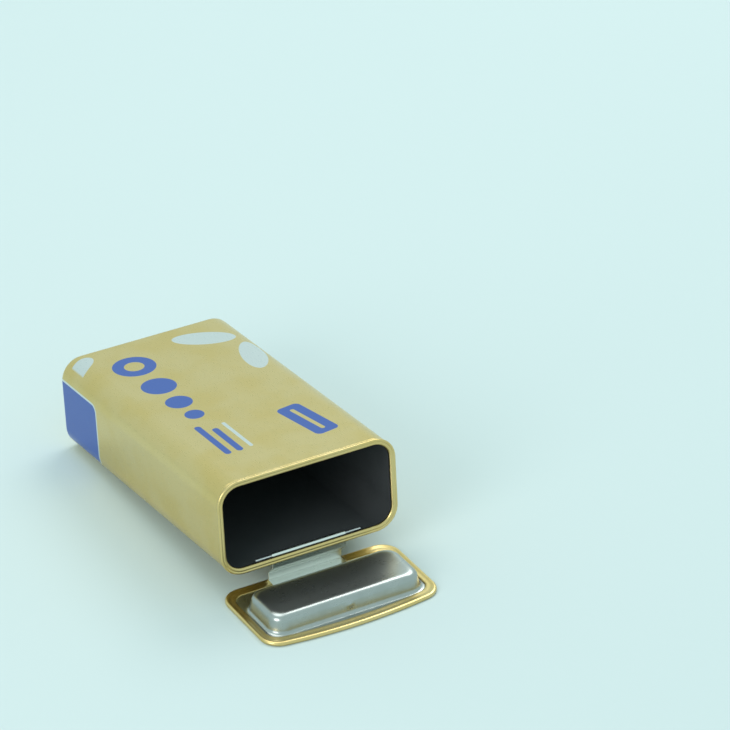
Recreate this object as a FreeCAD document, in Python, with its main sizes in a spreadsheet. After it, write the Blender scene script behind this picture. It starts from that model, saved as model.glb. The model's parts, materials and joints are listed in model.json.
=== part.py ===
import FreeCAD, Part
import math
import os
import Sketcher

# A flip-top mint tin, lying on its rear wall with the lid open flat on the surface.
# Millimetres and degrees. X is across the tin, the mouth faces -Y, +Z is up.
# The lid's tongue reaches in through a slot in the rear wall and curls round a loose wire pin.
# As the lid shuts, the pin and its curl slide along the wall towards the base.

SIZES = {
    # body: one drawn sheet with rounded corners and an in-curled rim at the mouth
    "body_width": 45.0,
    "body_depth": 22.8,
    "body_length": 78.8,
    "corner_radius": 5.4,
    "base_edge_radius": 1.2,
    "wall": 0.3,
    "rim_height": 0.95,
    "rim_breadth": 1.5,
    "rim_proud": 0.2,
    "rim_rounding": 0.4,
    # hinge: a wire pin, longer than the slot, loose inside the tin
    "pin_diameter": 0.8,
    "pin_length": 27.0,
    "pin_play": 0.1,
    "pin_chamfer": 0.1,
    "curl_clearance": 0.03,
    "slot_side_gap": 0.4,
    "slot_end_gap": 0.1,
    "slot_land": 0.1,
    "slot_corner_radius": 0.5,
    # how far the lid is from shut when the tongue lies deepest in the slot, in degrees
    "deepest_angle": 41.0,
    # lid cover: a plate whose edge is folded in over the inner piece
    "lid_width": 44.4,
    "lid_rear_lip": 0.17,
    "lid_front_reach": 23.8,
    "lid_corner_radius": 4.6,
    "lip_bow_radius": 124.0,
    "lid_thickness": 1.0,
    "lid_sheet": 0.3,
    "lid_edge_rounding": 0.4,
    "hem_side": 2.1,
    "hem_front": 2.9,
    "hem_rear": 2.7,
    "hem_corner_radius": 3.0,
    "hem_clearance": 0.05,
    "close_gap": 0.1,
    # inner piece of the lid: a flange under the hem, the raised plug and the tongue
    "pan_sheet": 0.25,
    "plug_width": 39.6,
    "plug_front": 19.8,
    "plug_rear": 4.2,
    "plug_rise": 3.8,
    "plug_draft": 0.8,
    "plug_corner_radius": 3.6,
    "plug_rounding": 0.7,
    "pip_radius": 1.0,
    "pip_proud": 0.3,
    "pip_drop": 1.9,
    "tongue_width": 18.8,
    "tongue_reach": 6.88,
    "tongue_gap": 0.1,
    "notch_gap": 0.15,
    "jog_start": 3.0,
    "jog_angle": 45.0,
    "curl_gap_angle": 70.0,
}

# Values that follow from the sizes. Each is an expression on the sheet or on earlier ones.
LAYOUT = {
    "half_width": "sizes.body_width / 2",
    "half_depth": "sizes.body_depth / 2",
    "inner_half_width": "layout.half_width - sizes.wall",
    "inner_half_depth": "layout.half_depth - sizes.wall",
    "rim_half_width": "layout.half_width + sizes.rim_proud",
    "rim_half_depth": "layout.half_depth + sizes.rim_proud",
    "mouth_half_width": "layout.rim_half_width - sizes.rim_breadth",
    "mouth_half_depth": "layout.rim_half_depth - sizes.rim_breadth",
    "mouth_corner_radius": "sizes.corner_radius + sizes.rim_proud - sizes.rim_breadth",
    "rim_bottom": "sizes.body_length - sizes.rim_height",
    # the curl round the pin, and the pin above the rear wall's outer face
    "curl_inner": "sizes.pin_diameter / 2 + sizes.curl_clearance",
    "curl_outer": "layout.curl_inner + sizes.pan_sheet",
    "pin_height": "sizes.wall + layout.curl_outer + sizes.pin_play",
    # the pin below the mouth plane: at rest the curl sits under the rim
    "pin_depth": "sizes.rim_height + layout.curl_outer + sizes.pin_play",
    "pin_depth_closed": "sizes.tongue_reach - sizes.close_gap",
    # the pin above the underside of the open lid
    "pin_z": "sizes.tongue_reach + sizes.lid_thickness",
    # the tongue's strip stands in front of the pin, and its leg behind it, clear of the rim
    "leg_inner": "layout.pin_height + sizes.rim_proud + sizes.tongue_gap",
    "leg_outer": "layout.leg_inner + sizes.pan_sheet",
    "lid_rear": "layout.leg_outer + sizes.lid_rear_lip",
    "jog_back": "layout.pin_z - sizes.jog_start",
    "jog_front": "layout.jog_back - sizes.pan_sheet * tan(sizes.jog_angle / 2 * 1 deg)",
    # the tin leans on the edge of its base, so the pin's height over the lid sets the lean
    "lean_run": "sizes.body_length - sizes.base_edge_radius - layout.pin_depth",
    "lean_step": "layout.pin_height - sizes.base_edge_radius",
    "lean_rise": "layout.pin_z - sizes.base_edge_radius",
    "lean": "asin(layout.lean_rise / hypot(layout.lean_run; layout.lean_step))"
    " - atan2(layout.lean_step; layout.lean_run)",
    # the slot takes the strip from its place under the rim to the deepest point of its swing
    "slot_half_width": "sizes.tongue_width / 2 + sizes.slot_side_gap",
    "slot_top": "layout.rim_bottom - sizes.slot_land",
    "deepest_share": "1 - sizes.deepest_angle / (90 + layout.lean / 1 deg)",
    "deepest_pin": "layout.pin_depth + (layout.pin_depth_closed - layout.pin_depth) * layout.deepest_share",
    "deepest_strip": "layout.deepest_pin - layout.curl_inner / sin(sizes.deepest_angle * 1 deg)"
    " - (layout.pin_height - sizes.wall) / tan(sizes.deepest_angle * 1 deg)",
    "slot_bottom": "sizes.body_length - layout.deepest_strip - sizes.slot_end_gap",
    # along Y the origin is midway between the lid's lip and the far edge of the base
    "base_from_pin": "layout.lean_run * cos(layout.lean) + sizes.base_edge_radius"
    " + (sizes.body_depth - sizes.base_edge_radius - layout.pin_height) * sin(layout.lean)",
    "pin_y": "(sizes.lid_front_reach - layout.base_from_pin) / 2",
    "tin_y": "layout.pin_y + (sizes.body_length - layout.pin_depth) * cos(layout.lean)"
    " + (layout.half_depth - layout.pin_height) * sin(layout.lean)",
    "tin_z": "sizes.base_edge_radius * (1 - sin(layout.lean) - cos(layout.lean))"
    " + layout.half_depth * cos(layout.lean)",
    # lid: half widths and reaches of its nested outlines
    "lid_half_width": "sizes.lid_width / 2",
    "groove_half_width": "layout.lid_half_width - sizes.lid_sheet",
    "groove_rear": "layout.lid_rear - sizes.lid_sheet",
    "groove_front": "sizes.lid_front_reach - sizes.lid_sheet",
    "groove_corner": "sizes.lid_corner_radius - sizes.lid_sheet",
    "groove_bow": "sizes.lip_bow_radius - sizes.lid_sheet",
    "groove_height": "sizes.pan_sheet + sizes.hem_clearance",
    "flange_half_width": "layout.groove_half_width - sizes.hem_clearance",
    "flange_rear": "layout.groove_rear - sizes.hem_clearance",
    "flange_front": "layout.groove_front - sizes.hem_clearance",
    "flange_corner": "layout.groove_corner - sizes.hem_clearance",
    "flange_bow": "layout.groove_bow - sizes.hem_clearance",
    "flange_top": "sizes.lid_sheet + sizes.pan_sheet",
    "hem_half_width": "layout.lid_half_width - sizes.hem_side",
    "hem_rear_edge": "sizes.hem_rear - layout.lid_rear",
    "hem_front_edge": "sizes.lid_front_reach - sizes.hem_front",
    "hem_bow": "sizes.lip_bow_radius - sizes.hem_front",
    "notch_half_width": "sizes.tongue_width / 2 + sizes.notch_gap",
    # plug
    "plug_half_width": "sizes.plug_width / 2",
    "plug_height": "sizes.plug_rise + sizes.lid_thickness - sizes.lid_sheet",
    "plug_top": "sizes.plug_rise + sizes.lid_thickness",
    "plug_taper": "atan(sizes.plug_draft / layout.plug_height)",
    # the hollow under the plug narrows with it, up to the sheet's thickness short of its top
    "hollow_draft": "(layout.plug_height - sizes.pan_sheet) * tan(layout.plug_taper)",
    "hollow_half_width": "layout.plug_half_width - sizes.pan_sheet - layout.hollow_draft",
    "hollow_rear": "sizes.plug_rear + sizes.pan_sheet + layout.hollow_draft",
    "hollow_front": "sizes.plug_front - sizes.pan_sheet - layout.hollow_draft",
    "pip_z": "layout.plug_top - sizes.pip_drop",
    "pip_y": "sizes.plug_front - sizes.plug_draft * (layout.pip_z - sizes.lid_sheet)"
    " / layout.plug_height + sizes.pip_proud - sizes.pip_radius",
}
ANGLES = ("lean", "plug_taper")

# Outline of the hollow under the plug, at the flange.
PLUG_INSIDE = (
    "layout.plug_half_width - sizes.pan_sheet",
    "sizes.plug_rear + sizes.pan_sheet",
    "sizes.plug_front - sizes.pan_sheet",
    "sizes.plug_corner_radius - sizes.pan_sheet",
)

CLOSE = 0.02

doc = FreeCAD.newDocument("mint_tin")


def make_sheet():
    """The driving dimensions, one alias to a row."""
    sheet = doc.addObject("Spreadsheet::Sheet", "sizes")
    for row, (alias, number) in enumerate(SIZES.items(), start=1):
        sheet.set(f"A{row}", alias)
        sheet.set(f"B{row}", str(number))
        sheet.setAlias(f"B{row}", alias)
    doc.recompute()


def make_layout():
    """The values that follow from the sheet, each bound to it."""
    layout = doc.addObject("App::VarSet", "layout")
    for name, formula in LAYOUT.items():
        kind = "App::PropertyAngle" if name in ANGLES else "App::PropertyFloat"
        layout.addProperty(kind, name)
        layout.setExpression(name, formula)
        doc.recompute()


def bind(thing, **formulas):
    """Bind properties of a feature to expressions."""
    for name, formula in formulas.items():
        thing.setExpression(name, formula)


def value(formula):
    """What an expression comes to, as a plain number."""
    found = doc.getObject("layout").evalExpression(formula)
    return float(getattr(found, "Value", found))


def make_body(label):
    body = doc.addObject("PartDesign::Body", label)
    body.Label = label
    return body


def make_sketch(body, name, plane, offset=None):
    """An empty sketch on one of the body's own origin planes, raised by an expression."""
    sketch = body.newObject("Sketcher::SketchObject", name)
    support = next(item for item in body.Origin.OriginFeatures if item.Role == plane)
    sketch.AttachmentSupport = [(support, "")]
    sketch.MapMode = "FlatFace"
    if offset:
        sketch.setExpression("AttachmentOffset.Base.z", offset)
    return sketch


def fix(sketch, formula, *constraint):
    """Add a dimension and bind it to an expression."""
    index = sketch.addConstraint(Sketcher.Constraint(*constraint, value(formula)))
    sketch.setExpression(f"Constraints[{index}]", formula)


def fix_angle(sketch, formula, *constraint):
    """Add an angle, held in radians in the sketch, and bind it to an expression."""
    index = sketch.addConstraint(Sketcher.Constraint(*constraint, math.radians(value(formula))))
    sketch.setExpression(f"Constraints[{index}]", formula)


def arc(centre, radius, start, end):
    """A counter-clockwise arc between two angles in degrees."""
    circle = Part.Circle(FreeCAD.Vector(*centre, 0), FreeCAD.Vector(0, 0, 1), radius)
    return Part.ArcOfCircle(circle, math.radians(start), math.radians(end))


def line(start, end):
    return Part.LineSegment(FreeCAD.Vector(*start, 0), FreeCAD.Vector(*end, 0))


def rounded_outline(sketch, half_x, low_y, high_y, corner, bow=None):
    """A closed outline with round corners. bow, if given, is the radius of its far edge.

    The arguments are expressions: half the width, the near and far edge along the
    sketch's second axis, the corner radius and the bow radius.
    """
    hx, low, high, r = (value(item) for item in (half_x, low_y, high_y, corner))
    if bow:
        big = value(bow)
        centre_y = high - big
        corner_y = centre_y + math.sqrt((big - r) ** 2 - (hx - r) ** 2)
        turn = math.degrees(math.atan2(corner_y - centre_y, hx - r))
        far = arc((0, centre_y), big, turn, 180 - turn)
    else:
        corner_y = high - r
        turn = 90
        far = line((hx - r, high), (r - hx, high))
    near = low + r
    pieces = [
        line((r - hx, low), (hx - r, low)),
        arc((hx - r, near), r, -90, 0),
        line((hx, near), (hx, corner_y)),
        arc((hx - r, corner_y), r, 0, turn),
        far,
        arc((r - hx, corner_y), r, 180 - turn, 180),
        line((-hx, corner_y), (-hx, near)),
        arc((r - hx, near), r, 180, 270),
    ]
    first = sketch.GeometryCount
    sketch.addGeometry(pieces, False)
    for step in range(len(pieces)):
        here = first + step
        after = first + (step + 1) % len(pieces)
        sketch.addConstraint(Sketcher.Constraint("Tangent", here, 2, after, 1))
    sketch.addConstraint(Sketcher.Constraint("Horizontal", first))
    sketch.addConstraint(Sketcher.Constraint("Vertical", first + 2))
    sketch.addConstraint(Sketcher.Constraint("Vertical", first + 6))
    for other in (3, 5, 7):
        sketch.addConstraint(Sketcher.Constraint("Equal", first + 1, first + other))
    fix(sketch, corner, "Radius", first + 1)
    fix(sketch, low_y, "DistanceY", -1, 1, first, 1)
    fix(sketch, half_x, "DistanceX", -1, 1, first + 2, 1)
    fix(sketch, half_x, "DistanceX", first + 6, 1, -1, 1)
    if bow:
        sketch.addConstraint(Sketcher.Constraint("PointOnObject", first + 4, 3, -2))
        fix(sketch, bow, "Radius", first + 4)
        fix(sketch, f"{high_y} - {bow}", "DistanceY", -1, 1, first + 4, 3)
    else:
        sketch.addConstraint(Sketcher.Constraint("Horizontal", first + 4))
        fix(sketch, high_y, "DistanceY", -1, 1, first + 4, 1)


def pad(body, name, sketch, formula, **settings):
    """Pad a sketch by an expression."""
    feature = body.newObject("PartDesign::Pad", name)
    feature.Profile = sketch
    bind(feature, Length=formula)
    for key, setting in settings.items():
        setattr(feature, key, setting)
    doc.recompute()
    return feature


def pocket(body, name, sketch, formula=None):
    """Cut a sketch along its own normal: by an expression, or right through."""
    before = body.Shape.Volume
    feature = body.newObject("PartDesign::Pocket", name)
    feature.Profile = sketch
    feature.Reversed = True
    if formula:
        bind(feature, Length=formula)
    else:
        feature.Type = "ThroughAll"
    doc.recompute()
    if body.Shape.Volume >= before:
        raise RuntimeError(f"{name} cuts nothing")
    return feature


def loop_edges(shape, level, half_x, low_y, high_y):
    """Names of the edges at one height that lie on an outline with these limits."""
    names = []
    for number, edge in enumerate(shape.Edges, start=1):
        box = edge.BoundBox
        flat = abs(box.ZMin - level) < CLOSE and abs(box.ZMax - level) < CLOSE
        on_side = abs(max(-box.XMin, box.XMax) - half_x) < CLOSE
        on_end = abs(box.YMin - low_y) < CLOSE or abs(box.YMax - high_y) < CLOSE
        if flat and (on_side or on_end):
            names.append(f"Edge{number}")
    return names


def fillet(body, name, formula, *loops):
    """Round loops of edges, each given as a height and an outline's limits."""
    base = body.Tip
    edges = []
    for loop in loops:
        edges += loop_edges(base.Shape, *(value(item) for item in loop))
    feature = body.newObject("PartDesign::Fillet", name)
    feature.Base = (base, edges)
    bind(feature, Radius=formula)
    doc.recompute()
    return feature


def make_tin_body():
    """The drawn body: base at z = 0, rear wall on the -y side, mouth at the top."""
    body = make_body("tin_body")

    def outline(name, half_x, half_y, corner, offset=None):
        sketch = make_sketch(body, name, "XY_Plane", offset)
        rounded_outline(sketch, half_x, f"-{half_y}", half_y, corner)
        return sketch

    def loop(height, half_x, half_y):
        return (height, half_x, f"-{half_y}", half_y)

    shell = outline("shell_outline", "layout.half_width", "layout.half_depth", "sizes.corner_radius")
    pad(body, "shell", shell, "sizes.body_length")
    cavity = outline(
        "cavity_outline",
        "layout.inner_half_width",
        "layout.inner_half_depth",
        "sizes.corner_radius - sizes.wall",
        "sizes.wall",
    )
    pocket(body, "cavity", cavity)
    fillet(
        body,
        "cavity_edge",
        "sizes.base_edge_radius - sizes.wall",
        loop("sizes.wall", "layout.inner_half_width", "layout.inner_half_depth"),
    )
    fillet(
        body,
        "base_edge",
        "sizes.base_edge_radius",
        loop("0", "layout.half_width", "layout.half_depth"),
    )
    rim = outline(
        "rim_outline",
        "layout.rim_half_width",
        "layout.rim_half_depth",
        "sizes.corner_radius + sizes.rim_proud",
        "layout.rim_bottom",
    )
    rounded_outline(
        rim,
        "layout.mouth_half_width",
        "-layout.mouth_half_depth",
        "layout.mouth_half_depth",
        "layout.mouth_corner_radius",
    )
    pad(body, "rim", rim, "sizes.rim_height")
    fillet(
        body,
        "rim_edges",
        "sizes.rim_rounding",
        loop("sizes.body_length", "layout.rim_half_width", "layout.rim_half_depth"),
        loop("sizes.body_length", "layout.mouth_half_width", "layout.mouth_half_depth"),
        loop("layout.rim_bottom", "layout.mouth_half_width", "layout.mouth_half_depth"),
    )
    slot = make_sketch(body, "slot_outline", "XZ_Plane")
    rounded_outline(
        slot,
        "layout.slot_half_width",
        "layout.slot_bottom",
        "layout.slot_top",
        "sizes.slot_corner_radius",
    )
    pocket(body, "slot", slot)
    body.Placement = FreeCAD.Placement(
        FreeCAD.Vector(), FreeCAD.Rotation(FreeCAD.Vector(1, 0, 0), 90)
    )
    body.setExpression(".Placement.Rotation.Angle", "90 deg - layout.lean")
    body.setExpression(".Placement.Base.y", "layout.tin_y")
    body.setExpression(".Placement.Base.z", "layout.tin_z")
    return body


def make_hinge_pin():
    """The loose wire that the tongue curls round, with its cut ends eased."""
    body = make_body("hinge_pin")
    section = make_sketch(body, "wire_section", "YZ_Plane")
    circle = Part.Circle(FreeCAD.Vector(), FreeCAD.Vector(0, 0, 1), value("sizes.pin_diameter / 2"))
    section.addGeometry(circle, False)
    section.addConstraint(Sketcher.Constraint("Coincident", 0, 3, -1, 1))
    fix(section, "sizes.pin_diameter / 2", "Radius", 0)
    wire = pad(body, "wire", section, "sizes.pin_length", Midplane=True)
    ends = [
        f"Edge{number}"
        for number, edge in enumerate(wire.Shape.Edges, start=1)
        if edge.BoundBox.XLength < CLOSE
    ]
    eased = body.newObject("PartDesign::Chamfer", "eased_ends")
    eased.Base = (wire, ends)
    bind(eased, Size="sizes.pin_chamfer")
    body.setExpression(".Placement.Base.y", "layout.pin_y")
    body.setExpression(".Placement.Base.z", "layout.pin_z")
    doc.recompute()
    return body


def place_lid_piece(body):
    """Lid pieces have y = 0 under the pin and their lip on the +y side, facing the mouth's way."""
    body.Placement = FreeCAD.Placement(
        FreeCAD.Vector(), FreeCAD.Rotation(FreeCAD.Vector(0, 0, 1), 180)
    )
    body.setExpression(".Placement.Base.y", "layout.pin_y")
    doc.recompute()


def make_lid_cover():
    """The outer plate with its edge folded in, open in the middle and notched for the tongue."""
    body = make_body("lid_cover")
    plate = make_sketch(body, "plate_outline", "XY_Plane")
    rounded_outline(
        plate,
        "layout.lid_half_width",
        "-layout.lid_rear",
        "sizes.lid_front_reach",
        "sizes.lid_corner_radius",
        "sizes.lip_bow_radius",
    )
    pad(body, "plate", plate, "sizes.lid_thickness")
    around = ("layout.lid_half_width", "-layout.lid_rear", "sizes.lid_front_reach")
    fillet(
        body,
        "rolled_edge",
        "sizes.lid_edge_rounding",
        ("0", *around),
        ("sizes.lid_thickness", *around),
    )
    opening = make_sketch(body, "opening_outline", "XY_Plane", "sizes.lid_sheet")
    rounded_outline(
        opening,
        "layout.hem_half_width",
        "layout.hem_rear_edge",
        "layout.hem_front_edge",
        "sizes.hem_corner_radius",
        "layout.hem_bow",
    )
    pocket(body, "opening", opening)
    groove = make_sketch(body, "groove_outline", "XY_Plane", "sizes.lid_sheet")
    rounded_outline(
        groove,
        "layout.groove_half_width",
        "-layout.groove_rear",
        "layout.groove_front",
        "layout.groove_corner",
        "layout.groove_bow",
    )
    pocket(body, "groove", groove, "layout.groove_height")
    notch = make_sketch(body, "notch_outline", "XY_Plane", "sizes.lid_sheet")
    low = value("-2 * layout.lid_rear")
    high = value("layout.hem_rear_edge + sizes.hem_corner_radius")
    side = value("layout.notch_half_width")
    corners = [(-side, low), (side, low), (side, high), (-side, high)]
    notch.addGeometry([line(corners[i], corners[(i + 1) % 4]) for i in range(4)], False)
    for i in range(4):
        notch.addConstraint(Sketcher.Constraint("Coincident", i, 2, (i + 1) % 4, 1))
    for i in (0, 2):
        notch.addConstraint(Sketcher.Constraint("Horizontal", i))
        notch.addConstraint(Sketcher.Constraint("Vertical", i + 1))
    fix(notch, "layout.notch_half_width", "DistanceX", -1, 1, 1, 1)
    fix(notch, "layout.notch_half_width", "DistanceX", 3, 1, -1, 1)
    fix(notch, "-2 * layout.lid_rear", "DistanceY", -1, 1, 0, 1)
    fix(notch, "layout.hem_rear_edge + sizes.hem_corner_radius", "DistanceY", -1, 1, 2, 1)
    pocket(body, "notch", notch)
    place_lid_piece(body)
    return body


def make_tongue_profile(body):
    """Side view of the tongue: foot, leg, jog and strip, then an open curl over the pin."""
    inner, outer = value("layout.curl_inner"), value("layout.curl_outer")
    leg_in, leg_out = value("layout.leg_inner"), value("layout.leg_outer")
    root, axis = value("sizes.lid_sheet"), value("layout.pin_z")
    foot_top = value("layout.flange_top")
    high_back, high_front = value("layout.jog_back"), value("layout.jog_front")
    drop = (inner + leg_out) / math.tan(math.radians(SIZES["jog_angle"]))
    low_back, low_front = high_back - drop, high_front - drop
    end = 360 - SIZES["curl_gap_angle"]

    def tip_point(radius):
        turn = math.radians(end)
        return (radius * math.cos(turn), axis + radius * math.sin(turn))

    pieces = [
        line((-leg_out, root), (-leg_out, low_back)),
        line((-leg_out, low_back), (inner, high_back)),
        line((inner, high_back), (inner, axis)),
        arc((0, axis), inner, 0, end),
        line(tip_point(outer), tip_point(inner)),
        arc((0, axis), outer, 0, end),
        line((outer, axis), (outer, high_front)),
        line((outer, high_front), (-leg_in, low_front)),
        line((-leg_in, low_front), (-leg_in, foot_top)),
        line((-leg_in, foot_top), (0, foot_top)),
        line((0, foot_top), (0, root)),
        line((0, root), (-leg_out, root)),
    ]
    leg_back, jog_back, strip_back, curl_in, tip, curl_out = range(6)
    strip_front, jog_front, leg_front, foot_over, foot_end, foot_under = range(6, len(pieces))
    profile = make_sketch(body, "tongue_profile", "YZ_Plane")
    profile.addGeometry(pieces, False)
    rules = [
        ("Coincident", leg_back, 2, jog_back, 1),
        ("Coincident", jog_back, 2, strip_back, 1),
        ("Tangent", strip_back, 2, curl_in, 1),
        ("Coincident", curl_in, 2, tip, 2),
        ("Coincident", tip, 1, curl_out, 2),
        ("Tangent", curl_out, 1, strip_front, 1),
        ("Coincident", strip_front, 2, jog_front, 1),
        ("Coincident", jog_front, 2, leg_front, 1),
        ("Coincident", leg_front, 2, foot_over, 1),
        ("Coincident", foot_over, 2, foot_end, 1),
        ("Coincident", foot_end, 2, foot_under, 1),
        ("Coincident", foot_under, 2, leg_back, 1),
        ("Coincident", curl_in, 3, curl_out, 3),
        ("PointOnObject", curl_in, 3, -2),
        ("PointOnObject", curl_in, 3, tip),
        ("Vertical", leg_back),
        ("Vertical", strip_back),
        ("Vertical", strip_front),
        ("Vertical", leg_front),
        ("Horizontal", foot_over),
        ("Vertical", foot_end),
        ("PointOnObject", foot_end, 1, -2),
        ("Horizontal", foot_under),
        ("Parallel", jog_back, jog_front),
    ]
    for rule in rules:
        profile.addConstraint(Sketcher.Constraint(*rule))
    fix(profile, "layout.curl_outer", "Radius", curl_out)
    fix(profile, "layout.curl_inner", "Radius", curl_in)
    fix(profile, "layout.pin_z", "DistanceY", -1, 1, curl_in, 3)
    fix(profile, "layout.flange_top", "DistanceY", -1, 1, foot_over, 1)
    fix(profile, "sizes.lid_sheet", "DistanceY", -1, 1, foot_under, 1)
    fix(profile, "layout.leg_outer", "DistanceX", leg_back, 1, -1, 1)
    fix(profile, "layout.leg_inner", "DistanceX", leg_front, 1, -1, 1)
    fix(profile, "layout.jog_back", "DistanceY", -1, 1, strip_back, 1)
    fix(profile, "layout.jog_front", "DistanceY", -1, 1, jog_front, 1)
    fix_angle(profile, "90 - sizes.jog_angle", "Angle", jog_back)
    fix_angle(profile, "180 - sizes.curl_gap_angle", "Angle", tip)
    return profile


def make_lid_plug():
    """The inner piece: a hollow plug rising from a flange, and the tongue at its rear."""
    body = make_body("lid_plug")
    base = make_sketch(body, "plug_outline", "XY_Plane", "sizes.lid_sheet")
    rounded_outline(
        base,
        "layout.plug_half_width",
        "sizes.plug_rear",
        "sizes.plug_front",
        "sizes.plug_corner_radius",
    )
    plug = pad(body, "plug", base, "layout.plug_height")
    bind(plug, TaperAngle="-layout.plug_taper")
    doc.recompute()
    fillet(
        body,
        "plug_edge",
        "sizes.plug_rounding",
        (
            "layout.plug_top",
            "layout.plug_half_width - sizes.plug_draft",
            "sizes.plug_rear + sizes.plug_draft",
            "sizes.plug_front - sizes.plug_draft",
        ),
    )
    inside = make_sketch(body, "hollow_outline", "XY_Plane", "sizes.lid_sheet")
    rounded_outline(inside, *PLUG_INSIDE)
    hollow = pocket(body, "hollow", inside, "layout.plug_height - sizes.pan_sheet")
    bind(hollow, TaperAngle="-layout.plug_taper")
    doc.recompute()
    fillet(
        body,
        "hollow_edge",
        "sizes.plug_rounding - sizes.pan_sheet",
        (
            "layout.plug_top - sizes.pan_sheet",
            "layout.hollow_half_width",
            "layout.hollow_rear",
            "layout.hollow_front",
        ),
    )
    flange = make_sketch(body, "flange_outline", "XY_Plane", "sizes.lid_sheet")
    rounded_outline(
        flange,
        "layout.flange_half_width",
        "-layout.flange_rear",
        "layout.flange_front",
        "layout.flange_corner",
        "layout.flange_bow",
    )
    rounded_outline(flange, *PLUG_INSIDE)
    pad(body, "flange", flange, "sizes.pan_sheet")
    pip = body.newObject("PartDesign::AdditiveSphere", "snap_pip")
    bind(pip, Radius="sizes.pip_radius")
    pip.setExpression(".Placement.Base.y", "layout.pip_y")
    pip.setExpression(".Placement.Base.z", "layout.pip_z")
    doc.recompute()
    pad(body, "tongue", make_tongue_profile(body), "sizes.tongue_width", Midplane=True)
    place_lid_piece(body)
    return body


def check_and_export(nodes):
    """Refuse to write anything if a feature failed or a sub-part isn't one sound solid."""
    doc.recompute()
    for item in doc.Objects:
        if "Invalid" in item.State or "Error" in item.State:
            raise RuntimeError(f"{item.Name}: {item.State}")
    for node in nodes:
        shape = node.Shape
        if shape.isNull() or not shape.isValid() or len(shape.Solids) != 1:
            raise RuntimeError(f"{node.Label} isn't one valid solid")
    os.makedirs("parts", exist_ok=True)
    for node in nodes:
        node.Shape.exportStep(f"parts/{node.Label}.step")


make_sheet()
make_layout()
check_and_export([make_tin_body(), make_hinge_pin(), make_lid_cover(), make_lid_plug()])
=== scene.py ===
import json
import math

import bmesh
import bpy
from mathutils import Matrix, Vector, noise


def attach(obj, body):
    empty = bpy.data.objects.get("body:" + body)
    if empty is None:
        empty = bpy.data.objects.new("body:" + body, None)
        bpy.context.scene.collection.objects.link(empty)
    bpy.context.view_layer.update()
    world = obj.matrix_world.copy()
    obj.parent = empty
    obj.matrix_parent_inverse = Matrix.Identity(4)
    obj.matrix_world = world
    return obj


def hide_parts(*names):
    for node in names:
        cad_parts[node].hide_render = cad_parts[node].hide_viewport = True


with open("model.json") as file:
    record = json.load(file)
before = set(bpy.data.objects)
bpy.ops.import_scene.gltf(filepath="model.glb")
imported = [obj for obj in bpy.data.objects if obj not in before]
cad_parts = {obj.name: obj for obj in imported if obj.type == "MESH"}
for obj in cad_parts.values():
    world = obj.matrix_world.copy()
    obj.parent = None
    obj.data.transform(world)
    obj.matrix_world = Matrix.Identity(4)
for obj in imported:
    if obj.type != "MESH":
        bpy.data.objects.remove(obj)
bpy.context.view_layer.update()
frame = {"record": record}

MM = 0.001

# Body, in millimetres, in the tin's own upright frame: base at z = 0, rear wall towards -y.
BODY_WIDTH = 45.0
BODY_DEPTH = 22.8
BODY_LENGTH = 78.8
BODY_CORNER = 5.4
BASE_EDGE = 1.2
WALL = 0.3
HALF_W = BODY_WIDTH / 2
HALF_D = BODY_DEPTH / 2
STRAIGHT_FROM = 3.0
STRAIGHT_MARGIN = 0.5
LINING_MARGIN = 0.01

# Rolled rim: a bead outside, a groove on top and a roll into the mouth.
# The short lists hold (depth from the outer wall, height from the rim's underside or top).
RIM_HEIGHT = 0.95
RIM_BREADTH = 1.5
RIM_PROUD = 0.2
RIM_BEAD = 0.16
RIM_ROLL = 0.55
RIM_ROLL_DROP = 0.06
RIM_FOOT = 0.2
RIM_STEP = [(0.04, -0.18), (0.10, -0.03), (0.02, 0.08), (-0.13, 0.22)]
RIM_GROOVE = [(0.36, -0.09), (0.46, -0.13), (0.56, -0.12)]

# Pin and slot.
PIN_RADIUS = 0.4
PIN_LENGTH = 27.0
PIN_PLAY = 0.1
PIN_EASE = 0.1
PIN_SIDES = 32
SHEET = 0.25
CURL_INNER = 0.43
CURL_OUTER = CURL_INNER + SHEET
PIN_HEIGHT = WALL + CURL_OUTER + PIN_PLAY
PIN_DEPTH = RIM_HEIGHT + CURL_OUTER + PIN_PLAY
TONGUE_WIDTH = 18.8
SLOT_SIDE_GAP = 0.4
SLOT_LAND = 0.1
SLOT_HALF = TONGUE_WIDTH / 2 + SLOT_SIDE_GAP
SLOT_TOP = BODY_LENGTH - RIM_HEIGHT - SLOT_LAND
SLOT_BOTTOM = 75.649
CUT_PAST = 1.0

# Tongue: foot, leg outside the wall, jog through it, strip in front of the pin, curl.
TONGUE_GAP = 0.1
LEG_INNER = PIN_HEIGHT + RIM_PROUD + TONGUE_GAP
LEG_OUTER = LEG_INNER + SHEET
JOG_START = 3.0
JOG_HALF_ANGLE = 22.5
JOG_BEND = 0.3
FOOT_END = -0.9
FOOT_INSET = 0.002
FOOT_BEND_BACK = 0.5
FOOT_BEND_FRONT = 0.25
CURL_TURN = 290
CURL_STEPS = 48
TONGUE_EDGE = 0.05
TONGUE_EDGE_PULL = 0.35

# Lid, with y = 0 under the pin and the lip towards +y before it is turned round.
LID_HALF = 22.2
LID_REAR = -1.8
LID_FRONT = 23.8
LID_CORNER = 4.6
LIP_BOW = 124.0
LID_SHEET = 0.3
HEM_SIDE = 2.1
HEM_FRONT = 2.9
HEM_REAR = 2.7
HEM_CORNER = 3.0
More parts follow.
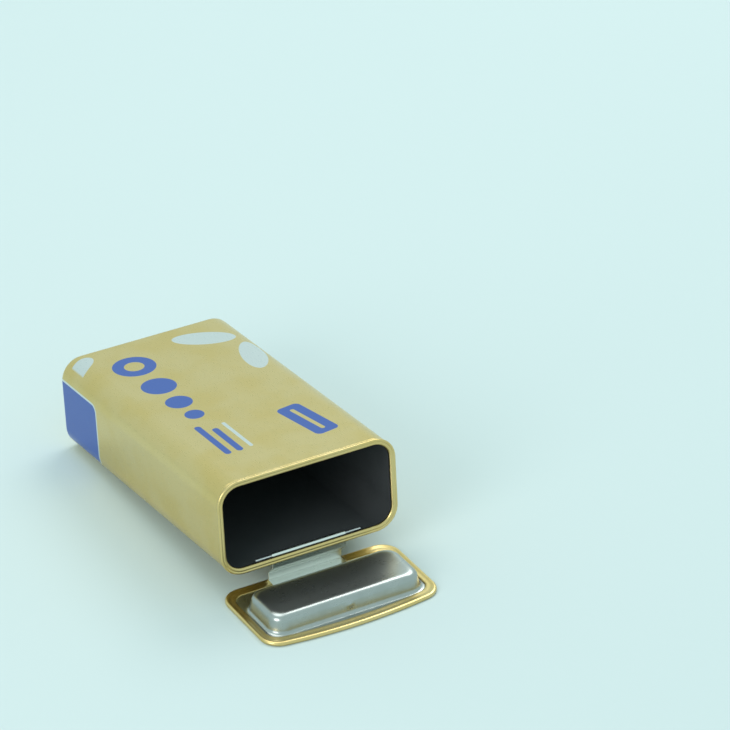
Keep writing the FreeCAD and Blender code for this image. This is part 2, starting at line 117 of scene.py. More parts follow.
# Share of the way from the lid's outline to the hem's inner edge, and height.
HEM_ROLL = [
    (0.19, 0.0), (0.09, 0.05), (0.03, 0.15), (0.0, 0.32), (0.0, 0.58), (0.03, 0.77),
    (0.09, 0.90), (0.17, 0.97), (0.26, 0.98), (0.36, 0.92), (0.50, 0.84), (0.64, 0.82),
    (0.80, 0.84), (0.92, 0.80), (0.99, 0.70), (0.99, 0.63), (0.96, 0.60), (0.15, 0.60),
    (0.15, LID_SHEET),
]
NOTCH_GAP = 0.15
NOTCH_FLOOR = 0.02
NOTCH_TOP = 2.0
NOTCH_PAST_HEM = 0.3

# Plug, the raised part of the lid's inner piece.
PLUG_HALF = 19.8
PLUG_REAR = 4.2
PLUG_FRONT = 19.8
PLUG_TOP = 4.8
PLUG_DRAFT = 0.8
PLUG_CORNER = 3.6
PLUG_CORNER_LEAST = 0.5
PLUG_CORNER_EASE = 0.35
PLUG_CORNER_SLACK = 0.05
PLUG_TOE = 0.25
PLUG_ROOT = 0.95
PLUG_ROOT_INNER_EASE = 0.4
PLUG_CROWN = 1.65
PLUG_WALL_STEPS = 8
FLANGE_GAP = 0.05
FLANGE_SHARE = 0.9
TOP_RINGS = 5
TOP_RING_STEP = 0.53
TOP_FADE_RINGS = 4
TOP_SAG = 0.04
TOP_WAVE = 0.02
TOP_WAVE_SCALE = (0.11, 0.22)
TOP_WAVE_SLICE = 3.1
PIP_HEIGHT = 2.9
PIP_SPREAD = 0.75
PIP_PROUD = 0.28
PIP_LOW = 1.2
PIP_HIGH = 4.3
PIP_BEHIND = 1.6
PIP_AHEAD = 0.3

# Fineness of the meshes, and how much a large face sways the normals beside it.
FLAT_WEIGHT = 80
CORNER_STEPS = 10
LID_FAR_STEPS = 96
EASE_STEPS = 5

joints = {joint["name"]: joint for joint in frame["record"]["behaviour"]["joints"]}
PIN_AT = Vector(joints["lid_hinge"]["pos_m"])
MOUTHWARD = Vector(joints["pin_slide"]["axis"])
LEAN = math.atan2(MOUTHWARD.z, -MOUTHWARD.y)


# ---------------------------------------------------------------- shapes


def arc(cx, cy, radius, start, end, steps):
    """Points of an arc, angles in radians."""
    angles = [start + (end - start) * i / steps for i in range(steps + 1)]
    return [(cx + radius * math.cos(a), cy + radius * math.sin(a)) for a in angles]


def section_arc(cx, cy, radius, start, end, steps):
    """Points of an arc in a cross-section, angles in degrees."""
    return arc(cx, cy, radius, math.radians(start), math.radians(end), steps)


def between(first, second, share):
    """Numbers part of the way from a first list to a second."""
    return [a + (b - a) * share for a, b in zip(first, second)]


def rounded_loop(half_x, low, high, corner, bow=None, far_steps=1):
    """Points of a closed outline with round corners; bow is the radius of its far edge."""
    right, near = half_x - corner, low + corner
    if bow:
        centre_y = high - bow
        corner_y = centre_y + math.sqrt((bow - corner) ** 2 - right**2)
        turn = math.atan2(corner_y - centre_y, right)
        far = arc(0, centre_y, bow, turn, math.pi - turn, far_steps)[1:-1]
    else:
        corner_y = high - corner
        turn = math.pi / 2
        far = [(right - 2 * right * i / far_steps, high) for i in range(1, far_steps)]
    points = arc(right, near, corner, -math.pi / 2, 0, CORNER_STEPS)
    points += arc(right, corner_y, corner, 0, turn, CORNER_STEPS)
    points += far
    points += arc(-right, corner_y, corner, math.pi - turn, math.pi, CORNER_STEPS)
    points += arc(-right, near, corner, math.pi, 1.5 * math.pi, CORNER_STEPS)
    return points


def ease_corner(before, at, after, ease):
    """Points of a smooth turn from one straight run to the next."""
    start = at + (before - at).normalized() * ease
    end = at + (after - at).normalized() * ease
    points = []
    for i in range(EASE_STEPS + 1):
        share = i / EASE_STEPS
        middle = at * (2 * share * (1 - share))
        points.append(tuple(start * (1 - share) ** 2 + middle + end * share**2))
    return points


def loft(mesh, rings, closed_start=True, closed_end=True):
    """Join rings of (x, y, z) points, each as long as the last, with quads."""
    made = [[mesh.verts.new(point) for point in ring] for ring in rings]
    faces = []
    for lower, upper in zip(made, made[1:]):
        count = len(lower)
        for i in range(count):
            j = (i + 1) % count
            faces.append(mesh.faces.new((lower[i], lower[j], upper[j], upper[i])))
    if closed_start:
        faces.append(mesh.faces.new(list(reversed(made[0]))))
    if closed_end:
        faces.append(mesh.faces.new(made[-1]))
    for face in faces:
        face.smooth = True
    return made


def finish_mesh(mesh, name, place):
    """Turn a bmesh in millimetres into an object, its points moved to a place."""
    scale = Matrix.Diagonal((MM, MM, MM, 1))
    bmesh.ops.transform(mesh, matrix=place @ scale, verts=mesh.verts)
    bmesh.ops.recalc_face_normals(mesh, faces=mesh.faces)
    data = bpy.data.meshes.new(name)
    mesh.to_mesh(data)
    mesh.free()
    piece = bpy.data.objects.new(name, data)
    bpy.context.scene.collection.objects.link(piece)
    return piece


def weigh_normals(piece):
    """Keep the flats flat beside their round edges."""
    modifier = piece.modifiers.new("flats", "WEIGHTED_NORMAL")
    modifier.weight = FLAT_WEIGHT
    modifier.keep_sharp = False


def cut_box(piece, place, low, high):
    """Cut a box, in the millimetres of the frame at a place, out of a piece."""
    cutter = bmesh.new()
    bmesh.ops.create_cube(cutter, size=1.0)
    size = Vector(high) - Vector(low)
    middle = (Vector(high) + Vector(low)) / 2
    bmesh.ops.scale(cutter, vec=size, verts=cutter.verts)
    bmesh.ops.translate(cutter, vec=middle, verts=cutter.verts)
    block = finish_mesh(cutter, "cutter", place)
    modifier = piece.modifiers.new("cut", "BOOLEAN")
    modifier.object = block
    modifier.solver = "EXACT"
    bpy.context.view_layer.update()
    depsgraph = bpy.context.evaluated_depsgraph_get()
    result = bpy.data.meshes.new_from_object(piece.evaluated_get(depsgraph))
    piece.modifiers.clear()
    old, piece.data = piece.data, result
    bpy.data.meshes.remove(old)
    bpy.data.objects.remove(block)


# ---------------------------------------------------------------- materials


GOLD = (0.72, 0.555, 0.255, 1)
GOLD_DEEP = (0.70, 0.52, 0.20, 1)
PRINT_BLUE = (0.040, 0.095, 0.36, 1)
PRINT_SILVER = (0.72, 0.74, 0.72, 1)
TINPLATE = (0.43, 0.455, 0.435, 1)
TINPLATE_DARK = (0.395, 0.42, 0.40, 1)
# Painted reflection: a paler tinplate colour for the tongue and flange behind the pin, and the
# span of y over which it fades in.
TINPLATE_PAINTED_REFLECTION = (0.82, 0.84, 0.79, 1)
PAINTED_REFLECTION_BEHIND = (1.4, 0.6)
INSIDE = (0.056, 0.060, 0.062, 1)
INSIDE_PALE = (0.074, 0.078, 0.080, 1)
WIRE = (0.62, 0.62, 0.62, 1)
WIRE_PALE = (0.74, 0.74, 0.73, 1)
FLOOR = (0.592, 0.668, 0.662, 1)
FLOOR_PALE = (0.606, 0.682, 0.676, 1)
FILL = (0.71, 0.93, 0.94, 1)
BACKDROP = (0.66, 0.85, 0.86, 1)

# Print, in millimetres: each oval's centre, radii and turn in degrees, and each bar's centre,
# half size, corner and turn. On the front wall they are across and up, on the side wall back
# to front and up.
PRINT_EDGE = 0.05
FRONT_FADE = (HALF_D - 1.6, HALF_D - 1.2)
SIDE_FADE = (-HALF_W + 0.9, -HALF_W + 0.5)
BLUE_OVALS = [
    ((-9.5, 13.5), (5.2, 5.2), 0.0),
    ((-9.5, 26.0), (4.2, 4.2), 0.0),
    ((-9.5, 36.0), (3.2, 3.2), 0.0),
    ((-9.5, 43.6), (2.3, 2.3), 0.0),
]
BLUE_BARS = [
    ((10.5, 60.5), (3.1, 8.2), 1.4, -8.0),
    ((-12.2, 57.5), (0.8, 8.0), 0.8, 0.0),
    ((-9.2, 59.0), (0.8, 6.5), 0.8, 0.0),
]
RING_HOLE = ((-9.5, 13.5), (2.4, 2.4), 0.0)
FRAME_HOLE = ((10.5, 60.5), (0.55, 6.2), 0.5, -8.0)
SILVER_OVALS = [
    ((11.0, 9.5), (7.6, 3.3), 28.0),
    ((16.5, 24.0), (3.0, 7.6), 14.0),
    ((-20.5, 6.0), (5.5, 2.6), -30.0),
]
SILVER_BAR = ((-6.2, 58.0), (0.45, 7.0), 0.4, 0.0)
SIDE_PANEL = ((-1.2, 5.0), (7.6, 13.0), 1.6, 0.0)
SIDE_LINE = ((-1.2, 5.0), (8.1, 13.5), 2.0, 0.0)


class Graph:
    """A short way to write the nodes of a material for a piece drawn in the frame at a place."""

    def __init__(self, name, frame_place):
        self.frame_place = frame_place
        self.material = bpy.data.materials.new(name)
        self.material.use_nodes = True
        self.tree = self.material.node_tree
        self.shader = self.tree.nodes["Principled BSDF"]

    def node(self, kind, **settings):
        made = self.tree.nodes.new(kind)
        for key, setting in settings.items():
            setattr(made, key, setting)
        return made

    def put(self, socket, source):
        """Link a socket to another one, or set it to a constant."""
        if isinstance(source, bpy.types.NodeSocket):
            self.tree.links.new(source, socket)
        else:
            socket.default_value = source

    def feed(self, name, source):
        """Put a source into one of the shader's own sockets."""
        self.put(self.shader.inputs[name], source)

    def math(self, operation, *inputs, clamp=False):
        made = self.node("ShaderNodeMath", operation=operation, use_clamp=clamp)
        for socket, source in zip(made.inputs, inputs):
            self.put(socket, source)
        return made.outputs[0]

    def ramp(self, source, low, high, start=0.0, end=1.0):
        """Run smoothly from start to end as the source goes from low to high."""
        made = self.node("ShaderNodeMapRange", interpolation_type="SMOOTHSTEP")
        for socket, item in zip(made.inputs, (source, low, high, start, end)):
            self.put(socket, item)
        return made.outputs[0]

    def mix(self, amount, first, second):
        """Mix two colours."""
        made = self.node("ShaderNodeMix", data_type="RGBA")
        self.put(made.inputs[0], amount)
        self.put(made.inputs[6], first)
        self.put(made.inputs[7], second)
        return made.outputs[2]

    def mix_number(self, amount, first, second):
        made = self.node("ShaderNodeMix", data_type="FLOAT")
        self.put(made.inputs[0], amount)
        self.put(made.inputs[2], first)
        self.put(made.inputs[3], second)
        return made.outputs[0]

    def place(self):
        """Coordinates in the piece's own frame, in millimetres."""
        coordinates = self.node("ShaderNodeTexCoord")
        turned = self.node("ShaderNodeMapping", vector_type="TEXTURE")
        self.put(turned.inputs["Vector"], coordinates.outputs["Object"])
        turned.inputs["Location"].default_value = self.frame_place.to_translation()
        turned.inputs["Rotation"].default_value = self.frame_place.to_euler("XYZ")
        turned.inputs["Scale"].default_value = (MM, MM, MM)
        return turned.outputs[0]

    def axes(self, vector):
        split = self.node("ShaderNodeSeparateXYZ")
        self.put(split.inputs[0], vector)
        return split.outputs[0], split.outputs[1], split.outputs[2]

    def stretch(self, vector, scale):
        made = self.node("ShaderNodeVectorMath", operation="MULTIPLY")
        self.put(made.inputs[0], vector)
        made.inputs[1].default_value = scale
        return made.outputs[0]

    def noise(self, vector, scale, detail, rough=0.5):
        made = self.node("ShaderNodeTexNoise")
        self.put(made.inputs["Vector"], vector)
        made.inputs["Scale"].default_value = scale
        made.inputs["Detail"].default_value = detail
        made.inputs["Roughness"].default_value = rough
        return made.outputs[0]

    def bump(self, height, distance, strength, below=None):
        made = self.node("ShaderNodeBump")
        made.inputs["Strength"].default_value = strength
        made.inputs["Distance"].default_value = distance
        self.put(made.inputs["Height"], height)
        if below:
            self.put(made.inputs["Normal"], below)
        return made.outputs[0]

    def turned(self, across, along, centre, turn):
        """Two coordinates measured from a centre, on axes turned by some degrees."""
        c, s = math.cos(math.radians(turn)), math.sin(math.radians(turn))
        dx = self.math("SUBTRACT", across, centre[0])
        dy = self.math("SUBTRACT", along, centre[1])
        px = self.math("ADD", self.math("MULTIPLY", dx, c), self.math("MULTIPLY", dy, s))
        py = self.math("SUBTRACT", self.math("MULTIPLY", dy, c), self.math("MULTIPLY", dx, s))
        return px, py

    def reach(self, x, y):
        """Distance from the middle of two coordinates."""
        squares = [self.math("MULTIPLY", item, item) for item in (x, y)]
        return self.math("SQRT", self.math("ADD", *squares))

    def oval(self, across, along, centre, radii, turn):
        """1 inside an oval drawn on two coordinates, 0 outside it."""
        points = self.turned(across, along, centre, turn)
        scaled = [self.math("DIVIDE", point, radius) for point, radius in zip(points, radii)]
        soft = PRINT_EDGE / min(radii)
        return self.ramp(self.reach(*scaled), 1 - soft, 1 + soft, 1.0, 0.0)

    def bar(self, across, along, centre, half, corner, turn):
        """1 inside a bar with round corners, 0 outside it."""
        past = []
        for point, side in zip(self.turned(across, along, centre, turn), half):
            beyond = self.math("SUBTRACT", self.math("ABSOLUTE", point), side - corner)
            past.append(self.math("MAXIMUM", beyond, 0.0))
        return self.ramp(self.reach(*past), corner - PRINT_EDGE, corner + PRINT_EDGE, 1.0, 0.0)

    def join(self, *masks):
        total = masks[0]
        for mask in masks[1:]:
            total = self.math("MAXIMUM", total, mask)
        return total


def gold_base(graph):
    """Satin gold lacquer: place, colour, normal and roughness, each a little uneven."""
    where = graph.place()
    cloud = graph.noise(where, scale=0.09, detail=2.0)
    colour = graph.mix(graph.ramp(cloud, 0.35, 0.7), GOLD, GOLD_DEEP)
    grain = graph.noise(graph.stretch(where, (1.0, 1.0, 0.12)), scale=6.0, detail=4.0, rough=0.6)
    peel = graph.noise(where, scale=1.6, detail=2.0)
    normal = graph.bump(peel, distance=0.00001, strength=0.04)
    rough = graph.ramp(grain, 0.3, 0.7, 0.27, 0.33)
    return where, colour, normal, rough


def make_plain_gold(place):
    graph = Graph("gold_lacquer_plain", place)
    _, colour, normal, rough = gold_base(graph)
    graph.feed("Base Color", colour)
    graph.feed("Normal", normal)
    graph.feed("Roughness", rough)
    graph.feed("Metallic", 1.0)
    return graph.material


def make_printed_gold(place):
    """Gold lacquer with plain printed shapes: blue discs and bars, silver ovals, side panel."""
    graph = Graph("gold_lacquer_printed", place)
    where, gold, normal, rough = gold_base(graph)
    x, y, z = graph.axes(where)
    on_front = graph.ramp(y, *FRONT_FADE)
    on_side = graph.ramp(x, *SIDE_FADE)
    solid = graph.join(
        *[graph.oval(x, z, *shape) for shape in BLUE_OVALS],
        *[graph.bar(x, z, *shape) for shape in BLUE_BARS],
    )
    holes = graph.join(graph.oval(x, z, *RING_HOLE), graph.bar(x, z, *FRAME_HOLE))
    kept = graph.math("SUBTRACT", 1.0, holes)
    blue_front = graph.math("MULTIPLY", solid, kept, clamp=True)
    silver_front = graph.join(
        *[graph.oval(x, z, *shape) for shape in SILVER_OVALS],
        graph.bar(x, z, *SILVER_BAR),
    )
    blue_side = graph.math("MULTIPLY", graph.bar(y, z, *SIDE_PANEL), on_side)
    silver_side = graph.math("MULTIPLY", graph.bar(y, z, *SIDE_LINE), on_side)
    blue = graph.join(graph.math("MULTIPLY", blue_front, on_front), blue_side)
    silver = graph.join(graph.math("MULTIPLY", silver_front, on_front), silver_side)
    colour = graph.mix(silver, gold, PRINT_SILVER)
    colour = graph.mix(blue, colour, PRINT_BLUE)
    ink = graph.join(blue, silver)
    graph.feed("Base Color", colour)
    graph.feed("Metallic", graph.mix_number(blue, 1.0, 0.25))
    graph.feed("Normal", graph.bump(ink, distance=0.00001, strength=0.4, below=normal))
    graph.feed("Roughness", graph.mix_number(blue, rough, 0.30))
    return graph.material


def make_inside(place):
    """Dark lining of the tin."""
    graph = Graph("tin_inside", place)
    cloud = graph.noise(graph.place(), scale=0.25, detail=3.0)
    graph.feed("Base Color", graph.mix(cloud, INSIDE, INSIDE_PALE))
    graph.feed("Metallic", 0.0)
    graph.feed("Specular IOR Level", 0.25)
    graph.feed("Roughness", graph.ramp(cloud, 0.3, 0.7, 0.42, 0.55))
    return graph.material


def make_tinplate(place):
    """Bare tinplate with a soft rolled grain, duller in patches, and paler on the tongue as a
    painted reflection.
    """
    graph = Graph("bare_tinplate", place)
    where = graph.place()
    cloud = graph.noise(where, scale=0.22, detail=3.0)
    colour = graph.mix(graph.ramp(cloud, 0.35, 0.7), TINPLATE, TINPLATE_DARK)
    y = graph.axes(where)[1]
    # Painted reflection: behind the pin the sheet is mixed towards a paler colour, standing in for
    # the light the tongue catches.
    colour = graph.mix(graph.ramp(y, *PAINTED_REFLECTION_BEHIND), colour, TINPLATE_PAINTED_REFLECTION)
    grain = graph.noise(graph.stretch(where, (0.10, 1.0, 1.0)), scale=7.0, detail=4.0, rough=0.65)
    fine = graph.ramp(grain, 0.3, 0.7, 0.27, 0.29)
    patchy = graph.ramp(cloud, 0.4, 0.7, 0.0, 0.015)
    graph.feed("Base Color", colour)
    graph.feed("Roughness", graph.math("ADD", fine, patchy))
    graph.feed("Metallic", 1.0)
    return graph.material


def make_wire(place):
    """Drawn steel wire with fine lines along it."""
    graph = Graph("pin_wire", place)
    lines = graph.noise(graph.stretch(graph.place(), (0.05, 1.0, 1.0)), scale=14.0, detail=3.0)
    graph.feed("Base Color", graph.mix(lines, WIRE, WIRE_PALE))
    graph.feed("Roughness", graph.ramp(lines, 0.3, 0.7, 0.25, 0.4))
    graph.feed("Normal", graph.bump(lines, distance=0.000006, strength=0.5))
    graph.feed("Metallic", 1.0)
    return graph.material


def make_floor():
    graph = Graph("floor_paper", Matrix.Identity(4))
    cloud = graph.noise(graph.place(), scale=0.004, detail=2.0)
    graph.feed("Base Color", graph.mix(cloud, FLOOR, FLOOR_PALE))
    graph.feed("Roughness", 0.75)
    graph.feed("Specular IOR Level", 0.2)
    return graph.material


# ---------------------------------------------------------------- pieces


def tin_place():
    """Where the upright tin's frame lies: tipped back about X and set down by its pin."""
    turn = Matrix.Rotation(math.pi / 2 - LEAN, 4, "X")
    pin_in_tin = Vector((0, PIN_HEIGHT - HALF_D, BODY_LENGTH - PIN_DEPTH)) * MM
    return Matrix.Translation(PIN_AT - turn.to_3x3() @ pin_in_tin) @ turn


def pin_place():
    return Matrix.Translation(PIN_AT)


def lid_place():
    """Where the lid's frame lies: under the pin, turned so that the lip faces -Y."""
    return Matrix.Translation((0, PIN_AT.y, 0)) @ Matrix.Rotation(math.pi, 4, "Z")


def body_ring(depth, height):
    """A ring round the body at a depth inside its outer wall."""
    corner = BODY_CORNER - depth
    loop = rounded_loop(HALF_W - depth, depth - HALF_D, HALF_D - depth, corner)
    return [(x, y, height) for x, y in loop]


def body_sections():
    """Cross-sections of the body as depth and height: its outside up to the mouth, its lining."""
    top = BODY_LENGTH
    under = top - RIM_HEIGHT
    mouth = RIM_BREADTH - RIM_PROUD
    bead = RIM_BEAD + RIM_PROUD
    roll_height = top - RIM_ROLL - RIM_ROLL_DROP
    outer = section_arc(BASE_EDGE, BASE_EDGE, BASE_EDGE, 270, 180, 7)
    outer += [(0, STRAIGHT_FROM), (0, under - STRAIGHT_MARGIN)]
    outer += [(depth, under + rise) for depth, rise in RIM_STEP]
    outer += section_arc(RIM_BEAD, top - bead, bead, 180, 70, 7)
    outer += [(depth, top + rise) for depth, rise in RIM_GROOVE]
    outer += section_arc(mouth - RIM_ROLL, roll_height, RIM_ROLL, 105, 8, 7)
    lining = section_arc(mouth - RIM_FOOT, under + RIM_FOOT, RIM_FOOT, 0, -90, 4)
    lining += [(WALL, under - LINING_MARGIN), (WALL, STRAIGHT_FROM)]
    lining += section_arc(BASE_EDGE, BASE_EDGE, BASE_EDGE - WALL, 180, 270, 5)
    return outer, lining


def make_tin(outside, inside):
    """The drawn body as one skin: base, wall, rolled rim, lining and inner base."""
    outer, lining = body_sections()
    rings = [body_ring(*point) for point in outer + lining]
    place = tin_place()
    mesh = bmesh.new()
    loft(mesh, rings)
    piece = finish_mesh(mesh, "tin_shell", place)
    piece.data.materials.append(outside)
    piece.data.materials.append(inside)
    outside_faces = len(outer) * len(rings[0])
    outer_base = len(piece.data.polygons) - 2
    for index, face in enumerate(piece.data.polygons):
        face.material_index = 0 if index < outside_faces or index == outer_base else 1
    slot_low = (-SLOT_HALF, -HALF_D - CUT_PAST, SLOT_BOTTOM)
    slot_high = (SLOT_HALF, -HALF_D + CUT_PAST, SLOT_TOP)
    cut_box(piece, place, slot_low, slot_high)
    weigh_normals(piece)
    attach(piece, "tin")
    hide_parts("tin_body")


def make_pin(metal):
    """The wire, its ends eased."""
    half = PIN_LENGTH / 2
    end = PIN_RADIUS - PIN_EASE
    eased = half - PIN_EASE
    sections = ((-half, end), (-eased, PIN_RADIUS), (eased, PIN_RADIUS), (half, end))
    rings = []
    for x, radius in sections:
        circle = arc(0, 0, radius, 0, math.tau, PIN_SIDES)[:-1]
        rings.append([(x, y, z) for y, z in circle])
    mesh = bmesh.new()
    loft(mesh, rings)
    piece = finish_mesh(mesh, "hinge_wire", pin_place())
    piece.data.materials.append(metal)
    weigh_normals(piece)
    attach(piece, "pin")
    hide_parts("hinge_pin")


def lid_ring(share, height, inset=0.0):
    """A ring of the hem: share 0 is the lid's outline, 1 the hem's inner edge."""
    outline = (
        LID_HALF - inset,
        LID_REAR + inset,
        LID_FRONT - inset,
        LID_CORNER - inset,
        LIP_BOW - inset,
    )
    edge = (
        LID_HALF - HEM_SIDE,
        LID_REAR + HEM_REAR,
        LID_FRONT - HEM_FRONT,
        HEM_CORNER,
        LIP_BOW - HEM_FRONT,
    )
    loop = rounded_loop(*between(outline, edge, share), far_steps=LID_FAR_STEPS)
    return [(x, y, height) for x, y in loop]


def make_cover(gold):
    """The lid's outer plate with its edge rolled over into a hem, notched for the tongue."""
    mesh = bmesh.new()
    loft(mesh, [lid_ring(share, height) for share, height in HEM_ROLL])
    piece = finish_mesh(mesh, "lid_hem_plate", lid_place())
    piece.data.materials.append(gold)
    notch = TONGUE_WIDTH / 2 + NOTCH_GAP
    notch_low = (-notch, LID_REAR - CUT_PAST, LID_SHEET + NOTCH_FLOOR)
    notch_high = (notch, LID_REAR + HEM_REAR + NOTCH_PAST_HEM, NOTCH_TOP)
    cut_box(piece, lid_place(), notch_low, notch_high)
    weigh_normals(piece)
    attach(piece, "lid")
    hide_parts("lid_cover")


def plug_ring(inset, height):
    """A ring round the plug, inset from its outline at the flange."""
    corner = max(PLUG_CORNER - PLUG_CORNER_EASE * inset, PLUG_CORNER_LEAST)
    corner = min(corner, (PLUG_FRONT - PLUG_REAR) / 2 - inset - PLUG_CORNER_SLACK)
    rear, front = PLUG_REAR + inset, PLUG_FRONT - inset
    loop = rounded_loop(PLUG_HALF - inset, rear, front, corner, far_steps=LID_FAR_STEPS)
    return [(x, y, height) for x, y in loop]


def plug_skin(gap):
    """Cross-section of the plug from flange to top, as inset and height; gap is for its inside."""
    root = PLUG_ROOT - gap * PLUG_ROOT_INNER_EASE
    crown = PLUG_CROWN - gap
    base = LID_SHEET + SHEET - gap
    inward = gap - PLUG_TOE + root
    low, high = base + root, PLUG_TOP - gap - crown
    skin = []
    for degrees in range(0, 91, 18):
        a = math.radians(degrees)
        skin.append((inward - root + root * math.sin(a), low - root * math.cos(a)))
    lean_in = PLUG_DRAFT / (PLUG_TOP - LID_SHEET)
    for i in range(1, PLUG_WALL_STEPS + 1):
        height = low + (high - low) * i / PLUG_WALL_STEPS
        skin.append((inward + lean_in * (height - low), height))
    start = skin[-1][0]
    for degrees in range(15, 91, 15):
        a = math.radians(degrees)
        skin.append((start + crown - crown * math.cos(a), high + crown * math.sin(a)))
    return skin


def make_plug(metal):
    """The lid's inner piece: flange, hollow plug and tongue, in one bare sheet."""
    edge = LID_SHEET + FLANGE_GAP
    flange_top = LID_SHEET + SHEET
    outer = plug_skin(0.0)
    last = outer[-1][0]
    rings = [plug_ring(inset, height) for inset, height in reversed(plug_skin(SHEET))]
    rings.append(lid_ring(0.0, LID_SHEET, edge))
    rings.append(lid_ring(0.0, flange_top, edge))
    rings.append(lid_ring(FLANGE_SHARE, flange_top))
    rings += [plug_ring(inset, height) for inset, height in outer]
    for step in range(1, TOP_RINGS + 1):
        rings.append(plug_ring(last + TOP_RING_STEP * step, PLUG_TOP))
    mesh = bmesh.new()
    made = loft(mesh, rings)
    shape_top(made[-TOP_RINGS - 1:])
    press_pip(mesh)
    add_tongue(mesh)
    piece = finish_mesh(mesh, "lid_plug_and_tongue", lid_place())
    piece.data.materials.append(metal)
    weigh_normals(piece)
    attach(piece, "lid")
    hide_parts("lid_plug")


def shape_top(rings):
    """Let the plug's flat top sink and wave a little, as thin sheet does."""
    for step, ring in enumerate(rings):
        fade = min(step / TOP_FADE_RINGS, 1.0)
        for vert in ring:
            across, along = vert.co.x * TOP_WAVE_SCALE[0], vert.co.y * TOP_WAVE_SCALE[1]
            wave = noise.noise(Vector((across, along, TOP_WAVE_SLICE)))
            vert.co.z += fade * (TOP_WAVE * wave - TOP_SAG)


def press_pip(mesh):
    """A small pressed pip on the plug's front wall, which snaps under the rim."""
    for vert in mesh.verts:
        x, y, z = vert.co
        on_wall = PLUG_FRONT - PIP_BEHIND <= y <= PLUG_FRONT + PIP_AHEAD
        if on_wall and PIP_LOW <= z <= PIP_HIGH:
            bulge = math.exp(-(x**2 + (z - PIP_HEIGHT) ** 2) / PIP_SPREAD**2)
            vert.co.y += PIP_PROUD * bulge


def tongue_side(leg, radius, foot, jog, foot_bend):
    """One side of the tongue's cross-section, as y and height, from its foot to the curl's end."""
    axis = PIN_AT.z / MM
    drop = CURL_INNER + LEG_OUTER
    corners = [(FOOT_END, foot), (-leg, foot), (-leg, jog - drop), (radius, jog), (radius, axis)]
    corners = [Vector(corner) for corner in corners]
    bends = (foot_bend, JOG_BEND, JOG_BEND)
    points = [tuple(corners[0])]
    for before, at, after, ease in zip(corners, corners[1:], corners[2:], bends):
        points += ease_corner(before, at, after, ease)
    return points + section_arc(0, axis, radius, 0, CURL_TURN, CURL_STEPS)


def add_tongue(mesh):
    """The leg that stands up from the flange, jogs to the front of the pin and curls over it."""
    low, high = LID_SHEET + FOOT_INSET, LID_SHEET + SHEET - FOOT_INSET
    jog_back = PIN_AT.z / MM - JOG_START
    jog_front = jog_back - SHEET * math.tan(math.radians(JOG_HALF_ANGLE))
    back = tongue_side(LEG_OUTER, CURL_INNER, low, jog_back, FOOT_BEND_BACK)
    front = tongue_side(LEG_INNER, CURL_OUTER, high, jog_front, FOOT_BEND_FRONT)
    outline = back + list(reversed(front))
    middle = [between(a, b, 0.5) for a, b in zip(back, front)]
    middle += list(reversed(middle))
    half = TONGUE_WIDTH / 2
    eased = half - TONGUE_EDGE
    rings = []
    for x in (-half, -eased, 0, eased, half):
        pull = TONGUE_EDGE_PULL if abs(x) == half else 0.0
        rings.append([(x, *between(point, mid, pull)) for point, mid in zip(outline, middle)])
    made = loft(mesh, rings, closed_start=False, closed_end=False)
    for ring in (made[0], made[-1]):
        for i in range(len(back) - 1):
            face = mesh.faces.new((ring[i], ring[i + 1], ring[-i - 2], ring[-i - 1]))
            face.smooth = True


# ---------------------------------------------------------------- studio


FLOOR_HALF = 4000
FILL_STRENGTH = 0.86
# Name, place in metres, width in metres and watts of each lamp.
LAMPS = (
    ("key", (0.55, 0.35, 0.75), 0.55, 2.6),
    ("top", (-0.10, 0.30, 0.95), 0.60, 1.8),
    ("left_fill", (-0.80, -0.35, 0.45), 0.50, 3.1),
)
LAMP_TARGET = Vector((0, -0.01, 0.01))
CAMERA_LENS = 198.0
CAMERA_SENSOR = 36.0
CAMERA_REACH = 20
CAMERA_AT = Vector((-0.3665, -0.6871, 0.499))
CAMERA_PITCH = math.radians(30.50)
CAMERA_HEADING = math.radians(30.035)
CAMERA_ROLL = math.radians(-0.2)


def lay_floor():
    mesh = bmesh.new()
    bmesh.ops.create_grid(mesh, x_segments=1, y_segments=1, size=FLOOR_HALF)
    floor = finish_mesh(mesh, "floor", Matrix.Identity(4))
    floor.data.materials.append(make_floor())


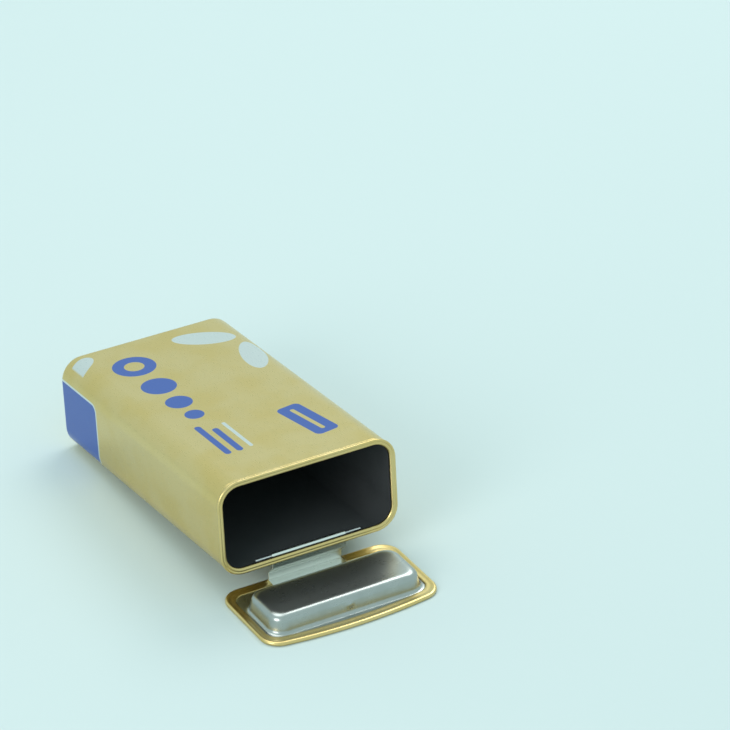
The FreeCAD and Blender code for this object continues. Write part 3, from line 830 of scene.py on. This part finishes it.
def light_surround():
    """Even light from all round, and a pale backdrop for the camera and for shiny metal."""
    world = bpy.data.worlds.new("surround")
    bpy.context.scene.world = world
    world.use_nodes = True
    tree = world.node_tree
    light_path = tree.nodes.new("ShaderNodeLightPath")
    seen = light_path.outputs["Is Camera Ray"]
    for other in ("Is Glossy Ray", "Is Transmission Ray"):
        larger = tree.nodes.new("ShaderNodeMath")
        larger.operation = "MAXIMUM"
        tree.links.new(seen, larger.inputs[0])
        tree.links.new(light_path.outputs[other], larger.inputs[1])
        seen = larger.outputs[0]
    fill = tree.nodes["Background"]
    fill.inputs["Color"].default_value = FILL
    fill.inputs["Strength"].default_value = FILL_STRENGTH
    shown = tree.nodes.new("ShaderNodeBackground")
    shown.inputs["Color"].default_value = BACKDROP
    shown.inputs["Strength"].default_value = 1.0
    either = tree.nodes.new("ShaderNodeMixShader")
    tree.links.new(seen, either.inputs[0])
    tree.links.new(fill.outputs[0], either.inputs[1])
    tree.links.new(shown.outputs[0], either.inputs[2])
    tree.links.new(either.outputs[0], tree.nodes["World Output"].inputs[0])


def hang_lamps():
    for name, at, size, watts in LAMPS:
        data = bpy.data.lights.new(name, "AREA")
        data.shape = "DISK"
        data.size = size
        data.energy = watts
        lamp = bpy.data.objects.new(name, data)
        lamp.location = at
        aim = LAMP_TARGET - Vector(at)
        lamp.rotation_euler = aim.to_track_quat("-Z", "Y").to_euler()
        bpy.context.scene.collection.objects.link(lamp)


def make_camera():
    """A long lens from the front left, looking down on the open mouth."""
    data = bpy.data.cameras.new("camera")
    data.lens = CAMERA_LENS
    data.sensor_width = CAMERA_SENSOR
    data.clip_end = CAMERA_REACH
    camera = bpy.data.objects.new("camera", data)
    heading = Matrix.Rotation(-CAMERA_HEADING, 4, "Z")
    tilt = Matrix.Rotation(math.pi / 2 - CAMERA_PITCH, 4, "X")
    roll = Matrix.Rotation(CAMERA_ROLL, 4, "Z")
    camera.matrix_world = Matrix.Translation(CAMERA_AT) @ heading @ tilt @ roll
    bpy.context.scene.collection.objects.link(camera)
    bpy.context.scene.camera = camera


make_camera()
lay_floor()
light_surround()
hang_lamps()
make_tin(make_printed_gold(tin_place()), make_inside(tin_place()))
make_pin(make_wire(pin_place()))
make_cover(make_plain_gold(lid_place()))
make_plug(make_tinplate(lid_place()))
bpy.context.scene.view_settings.view_transform = "Standard"
